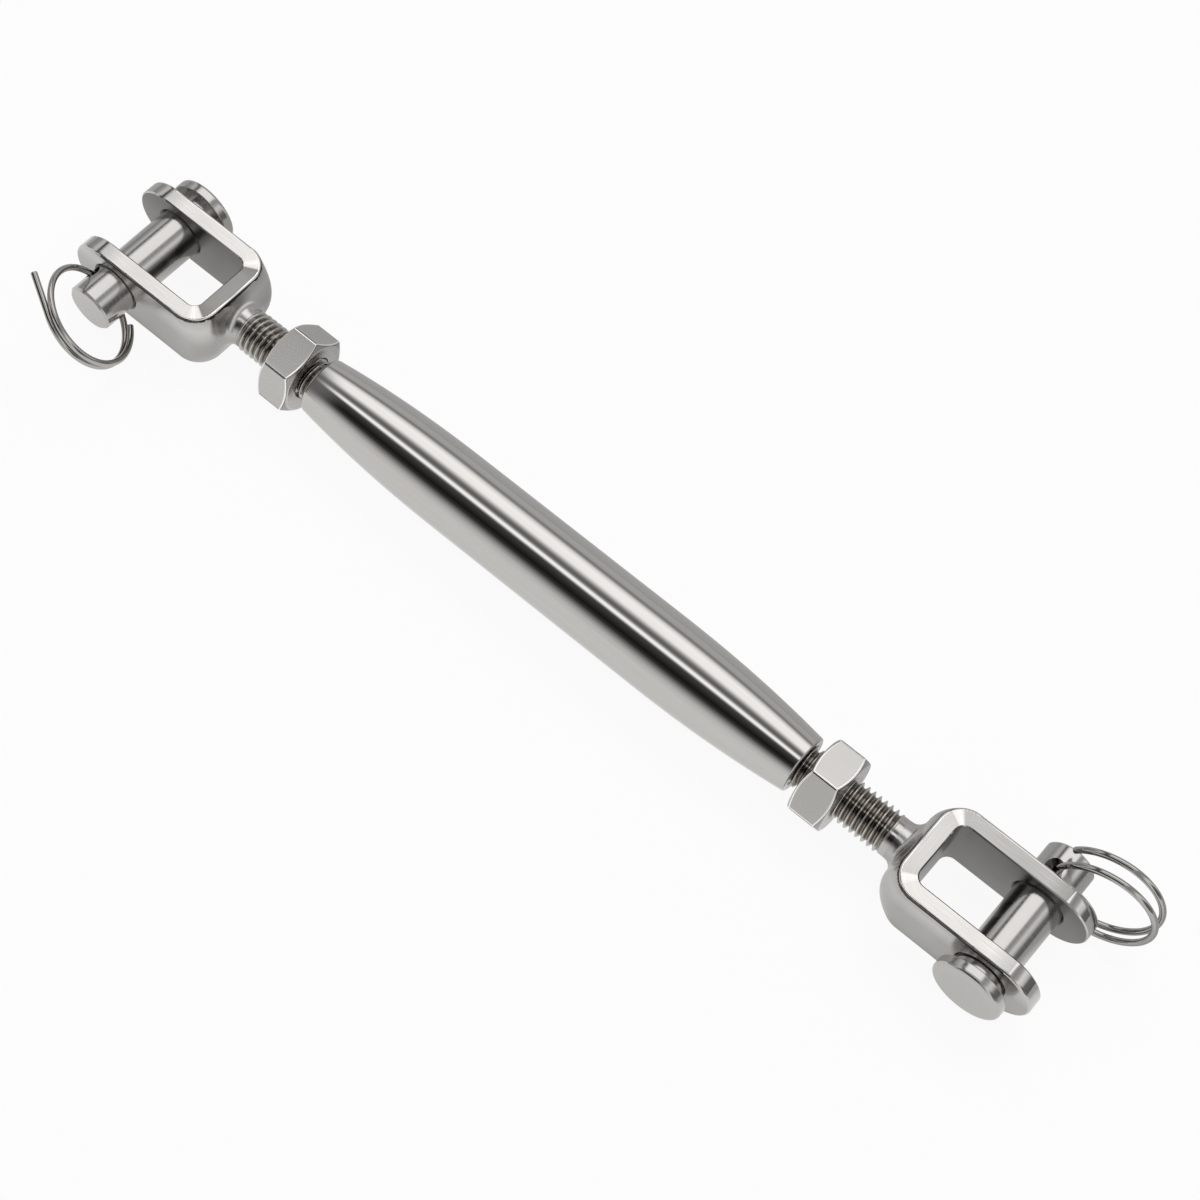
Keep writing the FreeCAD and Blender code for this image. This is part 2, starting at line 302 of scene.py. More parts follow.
class ShapeTree:
    """A Geometry Nodes tree with a named input for each size, and the object that runs it."""

    def __init__(self, name):
        self.tree = bpy.data.node_groups.new(name, "GeometryNodeTree")
        self.tree.interface.new_socket("Geometry", in_out="OUTPUT", socket_type="NodeSocketGeometry")
        self.sizes = {}

    def open(self, **sizes):
        """Makes an input for each size and gives them by name."""
        kinds = {int: "NodeSocketInt", float: "NodeSocketFloat", bpy.types.Material: "NodeSocketMaterial"}
        for name, size in sizes.items():
            socket = self.tree.interface.new_socket(
                name.replace("_", " ").capitalize(), in_out="INPUT", socket_type=kinds[type(size)])
            self.sizes[socket.identifier] = size
        sockets = self.tree.nodes.new("NodeGroupInput").outputs
        return SimpleNamespace(**{name: Value(self.tree, socket) for name, socket in zip(sizes, sockets)})

    def close(self, geometry, material):
        """Ends the tree, runs it and gives the result as a plain mesh."""
        whole = output(self.tree, "GeometryNodeRealizeInstances", {0: geometry})
        smooth = output(self.tree, "GeometryNodeSetShadeSmooth", {0: whole})
        painted = output(self.tree, "GeometryNodeSetMaterial", {0: smooth, "Material": material})
        add_node(self.tree, "NodeGroupOutput", {0: painted})
        obj = scene_object(self.tree.name, bpy.data.meshes.new(self.tree.name))
        modifier = obj.modifiers.new("Nodes", "NODES")
        modifier.node_group = self.tree
        for identifier, size in self.sizes.items():
            modifier[identifier] = size
        return mesh_of(obj)


# Helpers for meshes

def scene_object(name, data):
    """A new object in the scene."""
    obj = bpy.data.objects.new(name, data)
    bpy.context.collection.objects.link(obj)
    return obj


def mesh_of(obj):
    """The plain mesh that an object's modifiers give; the object is removed."""
    depsgraph = bpy.context.evaluated_depsgraph_get()
    mesh = bpy.data.meshes.new_from_object(obj.evaluated_get(depsgraph))
    bpy.data.objects.remove(obj)
    return mesh


def piece(name, mesh, body, slot, *nodes):
    """A finished piece at the origin, riding on a body and standing for its CAD nodes."""
    mesh.name = name
    obj = scene_object(name, mesh)
    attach(obj, body)
    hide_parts(*nodes)


def outward(mesh):
    """Merges doubles and turns every face outwards."""
    merge = 1e-6
    work = bmesh.new()
    work.from_mesh(mesh)
    bmesh.ops.remove_doubles(work, verts=work.verts, dist=merge)
    bmesh.ops.dissolve_degenerate(work, edges=work.edges, dist=merge)
    bmesh.ops.recalc_face_normals(work, faces=work.faces)
    work.to_mesh(mesh)
    work.free()
    return mesh


def weighted(obj, keep_sharp):
    """The mesh of an object with its normals held by its larger faces."""
    normals = obj.modifiers.new("Normals", "WEIGHTED_NORMAL")
    normals.weight = 100
    normals.keep_sharp = keep_sharp
    return mesh_of(obj)


def softened(mesh, width, segments):
    """Rounds the sharp edges and shades smooth."""
    sharp = math.radians(50)
    for polygon in mesh.polygons:
        polygon.use_smooth = True
    obj = scene_object("softened", mesh)
    bevel = obj.modifiers.new("Bevel", "BEVEL")
    bevel.width = width
    bevel.segments = segments
    bevel.limit_method = "ANGLE"
    bevel.angle_limit = sharp
    bevel.use_clamp_overlap = True
    return weighted(obj, False)


def evened(mesh, sharp):
    """Shades smooth up to the edges sharper than an angle in degrees, with flat faces kept flat."""
    for polygon in mesh.polygons:
        polygon.use_smooth = True
    mesh.set_sharp_from_angle(angle=math.radians(sharp))
    return weighted(scene_object("evened", mesh), True)


def joined(first, second):
    """One mesh from two, each with its own materials."""
    objects = [scene_object("part", mesh) for mesh in (first, second)]
    with bpy.context.temp_override(active_object=objects[0], selected_editable_objects=objects):
        bpy.ops.object.join()
    mesh = objects[0].data
    bpy.data.objects.remove(objects[0])
    return mesh


# Finishes

def shade(tones, share):
    """A colour made darker or lighter."""
    return tuple(min(tone * share, 1) for tone in tones)


def swing(value, tones, low, high):
    """A colour that goes from a darker to a lighter shade with a noise value."""
    return ramp(value, [(NOISE_LOW, shade(tones, low)), (NOISE_HIGH, shade(tones, high))])


def start_group(name, value_name, inputs):
    """A shader group that gives one number and a normal; returns its tree and inputs."""
    tree = bpy.data.node_groups.new(name, "ShaderNodeTree")
    for key, default in inputs.items():
        kind = "NodeSocketVector" if key == "Vector" else "NodeSocketFloat"
        tree.interface.new_socket(key, in_out="INPUT", socket_type=kind).default_value = default
    tree.interface.new_socket(value_name, in_out="OUTPUT", socket_type="NodeSocketFloat")
    tree.interface.new_socket("Normal", in_out="OUTPUT", socket_type="NodeSocketVector")
    given = tree.nodes.new("NodeGroupInput").outputs
    return tree, {key: Value(tree, given[key]) for key in inputs}


def haze_group():
    """Cloudy roughness and very fine polishing lines, for steel that was buffed."""
    tree, given = start_group("Buffed haze", "Roughness", {
        "Vector": (0, 0, 0), "Line scale": 900.0, "Smooth": 0.08, "Rough": 0.16, "Relief": 0.02})
    clouds = noise(given["Vector"], 90.0, 3.0)
    lines = noise(given["Vector"], given["Line scale"])
    rough = map_range(mix(0.55, clouds, lines), NOISE_LOW, NOISE_HIGH, given["Smooth"], given["Rough"])
    bump = output(tree, "ShaderNodeBump", {"Strength": given["Relief"], "Distance": 0.1 * MM, "Height": lines})
    add_node(tree, "NodeGroupOutput", {"Roughness": rough, "Normal": bump})
    return tree


def grain_group():
    """Brushed grain: long streaks along the second axis of the given vector."""
    tree, given = start_group("Brushed grain", "Streak", {
        "Vector": (0, 0, 0), "Across": 6000.0, "Along": 120.0, "Relief": 0.1})
    x, y, z = split(given["Vector"])
    streaks = noise(join(x * given["Across"], y * given["Along"], z * given["Along"]), 1.0)
    bump = output(tree, "ShaderNodeBump", {"Strength": given["Relief"], "Distance": 0.05 * MM, "Height": streaks})
    add_node(tree, "NodeGroupOutput", {"Streak": streaks, "Normal": bump})
    return tree


def start_material(name, tones):
    """A metal material, its shader and its object coordinates."""
    material = bpy.data.materials.new(name)
    material.use_nodes = True
    tree = material.node_tree
    shader = tree.nodes["Principled BSDF"]
    shader.inputs["Metallic"].default_value = 1.0
    shader.inputs["Base Color"].default_value = (*tones, 1)
    return tree, shader, output(tree, "ShaderNodeTexCoord", pick="Object")


def buff(tree, shader, haze, place, **inputs):
    """Gives a shader the buffed haze, with the group's inputs by name."""
    named = {key.replace("_", " ").capitalize(): value for key, value in inputs.items()}
    group = add_node(tree, "ShaderNodeGroup", {"Vector": place, **named}, node_tree=haze)
    for key in ("Roughness", "Normal"):
        plug(Value(tree, group.outputs[key]), shader.inputs[key])


def brush(tree, shader, grain, place, across, along, relief, smooth, rough):
    """Gives a shader the brushed grain over a vector; returns the streaks."""
    inputs = {"Vector": place, "Across": across, "Along": along, "Relief": relief}
    group = add_node(tree, "ShaderNodeGroup", inputs, node_tree=grain)
    streak = Value(tree, group.outputs["Streak"])
    plug(map_range(streak, NOISE_LOW, NOISE_HIGH, smooth, rough), shader.inputs["Roughness"])
    plug(Value(tree, group.outputs["Normal"]), shader.inputs["Normal"])
    return streak


def around_axis(place, axis, centre_x):
    """Cylinder coordinates about a line through a point on the screw's axis: radius, angle and height."""
    moved = output(place.tree, "ShaderNodeMapping", {0: place, 1: (-centre_x, 0, 0)})
    parts = split(moved)
    height = parts.pop(axis)
    return hypotenuse(*parts), calc("ARCTAN2", parts[1], parts[0]), height


def buffed_steel(name, tones, haze, smooth, rough, relief, line_scale, heights):
    """Mirror-like steel with a faint haze; heights gives (height in mm, tone) stops of painted shade and
    highlights where the tone changes.
    Stops that begin above the middle are repeated below it."""
    tree, shader, place = start_material(name, tones)
    buff(tree, shader, haze, place, smooth=smooth, rough=rough, relief=relief, line_scale=line_scale)
    cloud = noise(place, 60.0)
    if heights:
        low, high = heights[0][0] * MM, heights[-1][0] * MM
        level = split(place)[2]
        if low > 0:
            level = abs(level)
        stops = [((height * MM - low) / (high - low), shade(tones, tone)) for height, tone in heights]
        wave = map_range(cloud, NOISE_LOW, NOISE_HIGH, 0.88, 1.1)
        base = brightened(ramp(map_range(level, low, high), stops), wave)
    else:
        base = swing(cloud, tones, 0.96, 1.03)
    plug(base, shader.inputs["Base Color"])


def barrel_steel(tones, grain):
    """Polished bar with faint lines along its length, as the buff leaves them."""
    tree, shader, place = start_material("barrel_steel", tones)
    radius, turn, height = around_axis(place, 0, BARREL_MIDDLE)
    streak = brush(tree, shader, grain, join(turn * BARREL_RADIUS, height, radius),
                   across=3500.0, along=60.0, relief=0.01, smooth=0.05, rough=0.09)
    plug(swing(streak, tones, 0.97, 1.02), shader.inputs["Base Color"])


def fork_face_steel(tones, grain):
    """Flat faces of a fork, brushed round the U of its arms and crotch, with painted highlights, painted shade and
    painted streaks about the mitred corners, and darker towards the ear tips.
    """
    tree, shader, place = start_material("fork_face_steel", tones)
    x, y, _ = split(place)
    from_pin = MIDDLE_X - abs(x - MIDDLE_X)
    arm = abs(y)
    across = hypotenuse((from_pin - BRUSH_TURN[0]).at_least(0.0), (arm - BRUSH_TURN[1]).at_least(0.0))
    along = from_pin.at_most(BRUSH_TURN[0]) - arm.at_most(BRUSH_TURN[1])
    vector = join(across, along)
    streak = brush(tree, shader, grain, vector, across=5200.0, along=160.0, relief=0.2, smooth=0.19, rough=0.26)
    ear_tone = ramp(map_range(from_pin, -6 * MM, 28 * MM), [(0.0, 0.62), (0.10, 0.76), (0.2, 1.0)])
    bend = calc("ARCTAN2", arm - MITRE[1], from_pin - MITRE[0])
    bent = map_range(bend, -0.2, 1.8)
    # Painted shade along the crotch and painted highlights at the mitred corners, one ramp for each fork
    left_painted_light = ramp(bent, [(0.0, 0.4), (0.33, 0.32), (0.37, 1.0), (0.5, 1.3), (0.6, 1.1), (0.75, 1.0)])
    right_painted_light = ramp(bent, [(0.0, 0.84), (0.33, 0.8), (0.38, 1.2), (0.5, 1.22), (0.58, 1.05), (0.7, 1.04)])
    # Painted shade on the far arm of the right fork
    far_arm = y > 0.0
    painted_far_arm_shade = map_range(bent, 0.52, 0.58, 0.0, 0.38) * far_arm
    painted_corner_light = mix(x < MIDDLE_X, right_painted_light * (1.0 - painted_far_arm_shade), left_painted_light)
    # Painted streaks of light and shade that fan out from the corners
    painted_ray_mask = ramp(bent, [(0.30, 0.0), (0.40, 0.45), (0.62, 0.45), (0.80, 0.0)])
    painted_ray_streaks = painted_ray_mask * (noise(join(bend, x, far_arm), 9.0, 3.0) - 0.55) + 1.0
    toned = output(tree, "ShaderNodeMix", {0: 1.0, 6: swing(streak, tones, 0.86, 1.08), 7: ear_tone},
                   pick=2, data_type="RGBA", blend_type="MULTIPLY")
    wave = map_range(noise(vector, 70.0, 1.0), NOISE_LOW, NOISE_HIGH, 0.9, 1.04)
    plug(brightened(toned, wave * (painted_corner_light * painted_ray_streaks)), shader.inputs["Base Color"])


def nut_steel(name, tones, grain, centre_x):
    """Hexagon bar: fine grain along the flats, as the bar was drawn."""
    tree, shader, place = start_material(name, tones)
    radius, turn, height = around_axis(place, 0, centre_x)
    streak = brush(tree, shader, grain, join(turn * (9 * MM), height, radius),
                   across=3000.0, along=90.0, relief=0.006, smooth=0.22, rough=0.30)
    plug(swing(streak, tones, 0.9, 0.98), shader.inputs["Base Color"])


def pin_steel(name, tones, grain, centre_x):
    """Turned pin: fine rings from the lathe round the shank and over the head."""
    tree, shader, place = start_material(name, tones)
    radius, turn, height = around_axis(place, 1, centre_x)
    streak = brush(tree, shader, grain, join(height + radius, turn * (4 * MM)),
                   across=3600.0, along=60.0, relief=0.012, smooth=0.13, rough=0.22)
    plug(swing(streak, tones, 0.88, 0.93), shader.inputs["Base Color"])


def thread_steel(tones, root_shade, haze):
    """Cut thread: bright crests, with painted shade darkening it towards the roots."""
    tree, shader, place = start_material("thread_steel", tones)
    radius = around_axis(place, 0, 0.0)[0]
    plug(ramp(map_range(radius, 4.2 * MM, 4.95 * MM), [(0.0, root_shade), (0.75, tones)]), shader.inputs["Base Color"])
    buff(tree, shader, haze, place, smooth=0.07, rough=0.14, relief=0.01, line_scale=1600.0)


# Buffed finishes, some of them painted light: name, share of the steel's colour, smooth, rough, relief, scale of
# the lines and, where painted shade and highlights change the tone with the height, its stops
BUFFED = (
    # Fork sides: painted shade darker towards the bottom and a painted highlight band near the top
    ("fork_side_steel", 0.76, 0.20, 0.28, 0.03, 5200.0,
     ((-8.5, 0.8), (-5.0, 0.95), (1.0, 1.0), (5.5, 1.3), (7.8, 1.1))),
    # Inside of a jaw: painted shade, lighter towards the bottom
    ("jaw_inside_steel", 0.42, 0.28, 0.38, 0.05, 4200.0, ((-8.5, 1.5), (-2.0, 1.15), (5.0, 0.8), (8.5, 0.7))),
    ("edge_steel", 1.0, 0.04, 0.06, 0.0, 600.0, ()),
    ("wire_steel", 0.8, 0.06, 0.09, 0.0, 600.0, ()),
    # Rims of a fork's faces: a painted shade line with a painted highlight above it, on both faces
    ("fork_rim_steel", 1.0, 0.06, 0.10, 0.0, 900.0,
     ((7.72, 0.75), (7.84, 0.1), (8.24, 0.08), (8.32, 1.2), (8.5, 1.5))),
    # Painted highlight lines along the edges of the nuts
    ("bright_line_steel", 1.6, 0.10, 0.14, 0.0, 900.0, ()),
    ("chamfer_steel", 0.66, 0.14, 0.22, 0.02, 2400.0, ()),
    # Painted shade lines along the edges of the nuts
    ("edge_line_steel", 0.1, 0.12, 0.16, 0.0, 600.0, ()))


def finishes():
    """The materials of every piece, made once."""
    if "barrel_steel" in bpy.data.materials:
        return bpy.data.materials
    finish = bpy.context.scene.rig_finish
    steel = tuple(finish.steel)
    haze = haze_group()
    grain = grain_group()
    barrel_steel(steel, grain)
    # The fork faces' colour is lifted above the steel's as a painted sheen
    fork_face_steel(shade(steel, 1.14), grain)
    for name, share, *levels in BUFFED:
        buffed_steel(name, shade(steel, share), haze, *levels)
    thread_steel(steel, tuple(finish.painted_groove_shade), haze)
    for side, pin_x in (("left", 0.0), ("right", RIGHT_PIN_X)):
        low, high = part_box(side + "_nut")
        nut_steel(side + "_nut_steel", steel, grain, (low[0] + high[0]) / 2)
        pin_steel(side + "_pin_steel", steel, grain, pin_x)
    return bpy.data.materials


# Pieces

class RIG_OT_turn_barrel(bpy.types.Operator):
    """Turns the closed barrel: straight in the middle, tapering to its bored ends"""
    bl_idname = "rigging.turn_barrel"
    bl_label = "Turn barrel"

    def execute(self, context):
        sizes = context.scene.rig_barrel
        work = ShapeTree("Turned barrel")
        tree = work.tree
        take = work.open(
            length=BARREL_LENGTH, radius=BARREL_RADIUS, end_radius=sizes.end_radius,
            straight_half=sizes.straight_half, taper_power=sizes.taper_power, bore_radius=sizes.bore_radius,
            mouth_depth=sizes.mouth_depth, around=context.scene.rig_fineness.around, along=BARREL_STEPS,
            material=finishes()["barrel_steel"])
        half = take.length / 2.0
        circle = output(tree, "GeometryNodeCurvePrimitiveCircle", {"Resolution": take.around, "Radius": 1.0})

        def axis_line(count):
            """Straight curve along X over the whole length, cut into equal steps."""
            ends = {"Start": join(half * -1.0), "End": join(half)}
            line = output(tree, "GeometryNodeCurvePrimitiveLine", ends)
            return output(tree, "GeometryNodeResampleCurve", {"Curve": line, "Count": count})

        def revolve(line, radius):
            """Solid of revolution from a line and its radius at each point."""
            return output(tree, "GeometryNodeCurveToMesh", {
                "Curve": line, "Profile Curve": circle, "Scale": radius, "Fill Caps": True})

        x = split(output(tree, "GeometryNodeInputPosition"))[0]
        beyond = (abs(x) - take.straight_half).at_least(0.0)
        share = beyond / (half - take.straight_half)
        drop = (take.radius - take.end_radius) * share ** take.taper_power
        outside = revolve(axis_line(take.along), take.radius - drop)

        # The bore is a line of four points: the inner two where the mouths begin, the outer two past the ends
        overrun = 1.0 * MM
        from_middle = output(tree, "GeometryNodeInputIndex") - 1.5
        outer = abs(from_middle) > 1.0
        reach = half + mix(outer, take.mouth_depth * -1.0, overrun)
        cut_place = join(reach * calc("SIGN", from_middle))
        cut_line = output(tree, "GeometryNodeSetPosition", {0: axis_line(4), "Position": cut_place})
        flare = outer * (take.mouth_depth + overrun)
        bore = revolve(cut_line, take.bore_radius + flare)
        bored = output(tree, "GeometryNodeMeshBoolean", {0: outside, 1: bore},
                       operation="DIFFERENCE", solver="EXACT")
        mesh = work.close(bored, take.material)
        mesh.transform(Matrix.Translation((BARREL_MIDDLE, 0, 0)))
        mesh = softened(outward(mesh), sizes.rim_round, 4)
        piece("turned_barrel", mesh, "barrel", "polished", "barrel")
        return {"FINISHED"}


def thread_mesh(sizes, run_in, around, material):
    """Left-hand screw thread along +X from a fork's neck to its tip, closed at both ends."""
    work = ShapeTree("Cut thread")
    tree = work.tree
    take = work.open(start=sizes.start, end=SCREW_TIP, run_in=run_in, fade=sizes.fade,
                     neck_radius=sizes.neck_radius, crest_radius=sizes.crest_radius, depth=sizes.depth,
                     pitch=sizes.pitch, tip_bevel=sizes.tip_bevel, hand=-1.0, around=around,
                     rows_per_pitch=ROWS_PER_PITCH, material=material)
    turns = calc("CEIL", (take.end - take.start) / take.pitch) + 2.0
    last_row = turns * take.rows_per_pitch + 2.0
    columns = take.around + 1.0
    grid = output(tree, "GeometryNodeMeshGrid", {"Vertices X": last_row + 1.0, "Vertices Y": columns})
    index = output(tree, "GeometryNodeInputIndex")
    row = calc("FLOOR", (index + 0.5) / columns)
    turn = (index - row * columns) / take.around
    along = (row - 1.0) / take.rows_per_pitch
    free_x = take.start + take.pitch * (along + turn - 1.0)
    x = free_x.at_least(take.start).at_most(take.end)
    phase = calc("FRACT", (x - take.start) / take.pitch - (turn - 1.0))
    crest_half = 1 / 16
    flank_end = 3 / 8
    fall = map_range(abs(phase - 0.5), crest_half, flank_end)
    cut = take.crest_radius - fall * take.depth
    tip = take.crest_radius - take.tip_bevel + (take.end - x)
    first_cut = take.start + take.run_in
    deepening = map_range(x, first_cut, first_cut + take.fade)
    between_ends = (row > 0.5) * (row < last_row - 0.5)
    radius = mix(deepening, take.neck_radius, cut).at_most(tip) * between_ends
    swept = turn * (2 * math.pi) * take.hand
    place = join(x, radius * calc("COSINE", swept), radius * calc("SINE", swept))
    shaped = output(tree, "GeometryNodeSetPosition", {0: grid, "Position": place})
    merged = output(tree, "GeometryNodeMergeByDistance", {0: shaped, "Distance": 2e-6})
    return outward(work.close(merged, take.material))


def jaw_mesh(node, cut_x, side):
    """A fork's jaw and neck without its screw; side is 1 where the screw runs towards +X."""
    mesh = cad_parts[node].data.copy()
    if mesh.has_custom_normals:
        mesh.attributes.remove(mesh.attributes["custom_normal"])
    outward(mesh)
    work = bmesh.new()
    work.from_mesh(mesh)
    cut = bmesh.ops.bisect_plane(
        work, geom=work.verts[:] + work.edges[:] + work.faces[:], dist=1e-7,
        plane_co=(cut_x, 0, 0), plane_no=(side, 0, 0), clear_outer=True)
    rim = [edge for edge in cut["geom_cut"] if isinstance(edge, bmesh.types.BMEdge)]
    bmesh.ops.holes_fill(work, edges=rim, sides=0)
    bmesh.ops.recalc_face_normals(work, faces=work.faces)
    work.to_mesh(mesh)
    work.free()
    return mesh


def finish_jaw(mesh):
    """Gives a jaw its finishes by where each face lies, with painted shade inside the jaw and painted shade and
    highlight lines on the rims of its faces.
    """
    names = ("fork_side_steel", "fork_face_steel", "edge_steel", "jaw_inside_steel", "fork_rim_steel")
    _, face, edge, inside, rim = range(len(names))
    mesh.materials.clear()
    for name in names:
        mesh.materials.append(finishes()[name])
    ear_bend = FORK_HALF_HEIGHT - EAR_REACH
    for polygon in mesh.polygons:
        centre, normal = polygon.center, polygon.normal
        from_pin = MIDDLE_X - abs(centre.x - MIDDLE_X)
        under_top = FORK_HALF_HEIGHT - abs(centre.z)
        from_bend = math.hypot(from_pin - ear_bend, centre.z)
        turned = abs(normal.y) < 0.95
        in_band = under_top < EDGE_BAND
        in_jaw = abs(centre.y) < JAW_REACH and from_pin < CROTCH_REACH
        in_hole = turned and math.hypot(from_pin, centre.z) < HOLE_REACH
        on_ear_end = turned and from_pin < ear_bend and from_bend > FORK_HALF_HEIGHT - EDGE_BAND
        if abs(normal.z) > 0.99 and under_top < FACE_BAND:
            polygon.material_index = face
        # Faces inside the jaw and in its holes get the painted shade
        elif in_hole or (in_jaw and not on_ear_end and under_top > INSIDE_TOP):
            polygon.material_index = inside
        # The rims along the arms get the painted shade and highlight lines
        elif in_band and not on_ear_end and not in_jaw:
            polygon.material_index = rim
        elif in_band or on_ear_end:
            polygon.material_index = edge
    return mesh


class RIG_OT_dress_forks(bpy.types.Operator):
    """Cuts the screw threads, left-hand and right-hand, and joins them to their finished forks"""
    bl_idname = "rigging.dress_forks"
    bl_label = "Dress forks"

    def execute(self, context):
        sizes = context.scene.rig_thread
        around = context.scene.rig_fineness.thread_around
        for side, node, pin_x, run_in in ((1, "left_fork", 0.0, 0.0),
                                          (-1, "right_fork", RIGHT_PIN_X, sizes.right_run_in)):
            thread = thread_mesh(sizes, run_in, around, finishes()["thread_steel"])
            if side < 0:
                thread.transform(Matrix.Translation((pin_x, 0, 0)) @ Matrix.Scale(-1, 4, (1, 0, 0)))
                outward(thread)
            jaw = jaw_mesh(node, pin_x + side * sizes.neck_cut, side)
            jaw = evened(finish_jaw(jaw), 38)
            piece(node + "_screw", joined(jaw, thread), node, "satin", node)
        return {"FINISHED"}


def hexagon_outline(sizes):
    """Points round the hexagon with its rounded corners: (distance, angle, whether on a flat)."""
    apothem = sizes.flats / 2
    inner = apothem - sizes.corner_round
    flat_half = inner * math.tan(math.pi / 6)
    half_strips = FLAT_STRIPS // 2
    outline = []
    for side in range(6):
        local = [(apothem, flat_half * step / half_strips, True) for step in range(-half_strips, half_strips + 1)]
        for step in range(1, CORNER_STRIPS):
            bend = math.pi / 3 * step / CORNER_STRIPS
            local.append((inner + sizes.corner_round * math.cos(bend),
                          flat_half + sizes.corner_round * math.sin(bend), False))
        outline += [(math.hypot(u, v), math.atan2(v, u) + side * math.pi / 3, flat) for u, v, flat in local]
    return outline


def eased(before, corner, after, reach):
    """Five points that round a corner between its neighbours."""
    start = corner + (before - corner).normalized() * reach
    end = corner + (after - corner).normalized() * reach
    shares = [step / 4 for step in range(5)]
    return [start * (1 - t) ** 2 + corner * 2 * t * (1 - t) + end * t ** 2 for t in shares]


# Finishes of a nut, painted highlight and painted shade lines among them, and the finish of each strip of its
# turned profile, from the hole's mouth round to the bore
PLAIN, EDGE, PAINTED_SHADE_LINE, PAINTED_HIGHLIGHT, CHAMFER = range(5)
FLAT_STRIP = 11
PROFILE_FINISHES = (
    PLAIN, PLAIN, EDGE, EDGE, EDGE, EDGE, CHAMFER, PAINTED_SHADE_LINE, PAINTED_HIGHLIGHT, PAINTED_HIGHLIGHT, PAINTED_HIGHLIGHT, PLAIN,
    PAINTED_HIGHLIGHT, PAINTED_HIGHLIGHT, PAINTED_HIGHLIGHT, PAINTED_SHADE_LINE, CHAMFER, EDGE, EDGE, EDGE, EDGE, PLAIN, PLAIN, PLAIN)


def nut_mesh(sizes, turn, face_x, thickness):
    """Lock nut with turned chamfers, and painted highlight and painted shade lines along its edges; turn is the
    angle of one of its corners about the screw.
    """
    face_radius = sizes.flats * sizes.face_ratio / 2
    mouth_radius = sizes.bore_radius + sizes.mouth
    outline = [(distance, angle + turn + math.pi / 6, flat) for distance, angle, flat in hexagon_outline(sizes)]
    columns = []
    for distance, angle, _ in outline:
        rise = (distance - face_radius) * math.tan(sizes.chamfer)
        corners = [Vector(corner) for corner in (
            (sizes.mouth, sizes.bore_radius), (0, mouth_radius), (0, face_radius), (rise, distance),
            (thickness - rise, distance), (thickness, face_radius), (thickness, mouth_radius),
            (thickness - sizes.mouth, sizes.bore_radius))]
        profile = corners[:2]
        for i in (2, 3, 4, 5):
            profile += eased(corners[i - 1], corners[i], corners[i + 1], sizes.edge_round)
        profile += corners[6:]
        columns.append([(face_x + x, r * math.cos(angle), r * math.sin(angle)) for x, r in profile])
    count, points = len(columns), len(PROFILE_FINISHES)
    faces, indices = [], []
    for i, (_, angle, flat) in enumerate(outline):
        after = (i + 1) % count
        _, next_angle, next_flat = outline[after]
        strip = i % (FLAT_STRIPS + CORNER_STRIPS) - FLAT_STRIPS
        middle_strip = CORNER_STRIPS // 2
        facing_up = strip < middle_strip if math.sin(next_angle) < math.sin(angle) else strip >= middle_strip
        for j, finish in enumerate(PROFILE_FINISHES):
            up = (j + 1) % points
            faces.append((i * points + j, i * points + up, after * points + up, after * points + j))
            # Round a corner the middle strip gets a painted highlight where it faces up on the upper side, and a
            # painted shade line elsewhere
            if j == FLAT_STRIP and not (flat and next_flat):
                on_top = math.sin((angle + next_angle) / 2) > 0
                finish = PAINTED_HIGHLIGHT if facing_up and on_top else PAINTED_SHADE_LINE
            indices.append(finish)
    mesh = bpy.data.meshes.new("nut")
    mesh.from_pydata([point for column in columns for point in column], [], faces)
    mesh.polygons.foreach_set("material_index", indices)
    return mesh


class RIG_OT_cut_nuts(bpy.types.Operator):
    """Cuts both lock nuts from hexagon bar, with turned chamfers and eased edges"""
    bl_idname = "rigging.cut_nuts"
    bl_label = "Cut lock nuts"

    def execute(self, context):
        sizes = context.scene.rig_nut
        for node, turn in (("left_nut", sizes.left_turn), ("right_nut", sizes.right_turn)):
            low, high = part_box(node)
            mesh = nut_mesh(sizes, turn, low[0], high[0] - low[0])
            for name in (node + "_steel", "edge_steel", "edge_line_steel", "bright_line_steel", "chamfer_steel"):
                mesh.materials.append(finishes()[name])
            piece(node + "_eased", evened(outward(mesh), 80), node, "brushed", node)
        return {"FINISHED"}


class RIG_OT_dress_pins(bpy.types.Operator):
    """Gives both clevis pins their turned finish"""
    bl_idname = "rigging.dress_pins"
    bl_label = "Dress clevis pins"

    def execute(self, context):
        for side in ("left", "right"):
            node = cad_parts[side + "_pin"]
            node.material_slots[0].link = "OBJECT"
            node.material_slots[0].material = finishes()[side + "_pin_steel"]
        return {"FINISHED"}


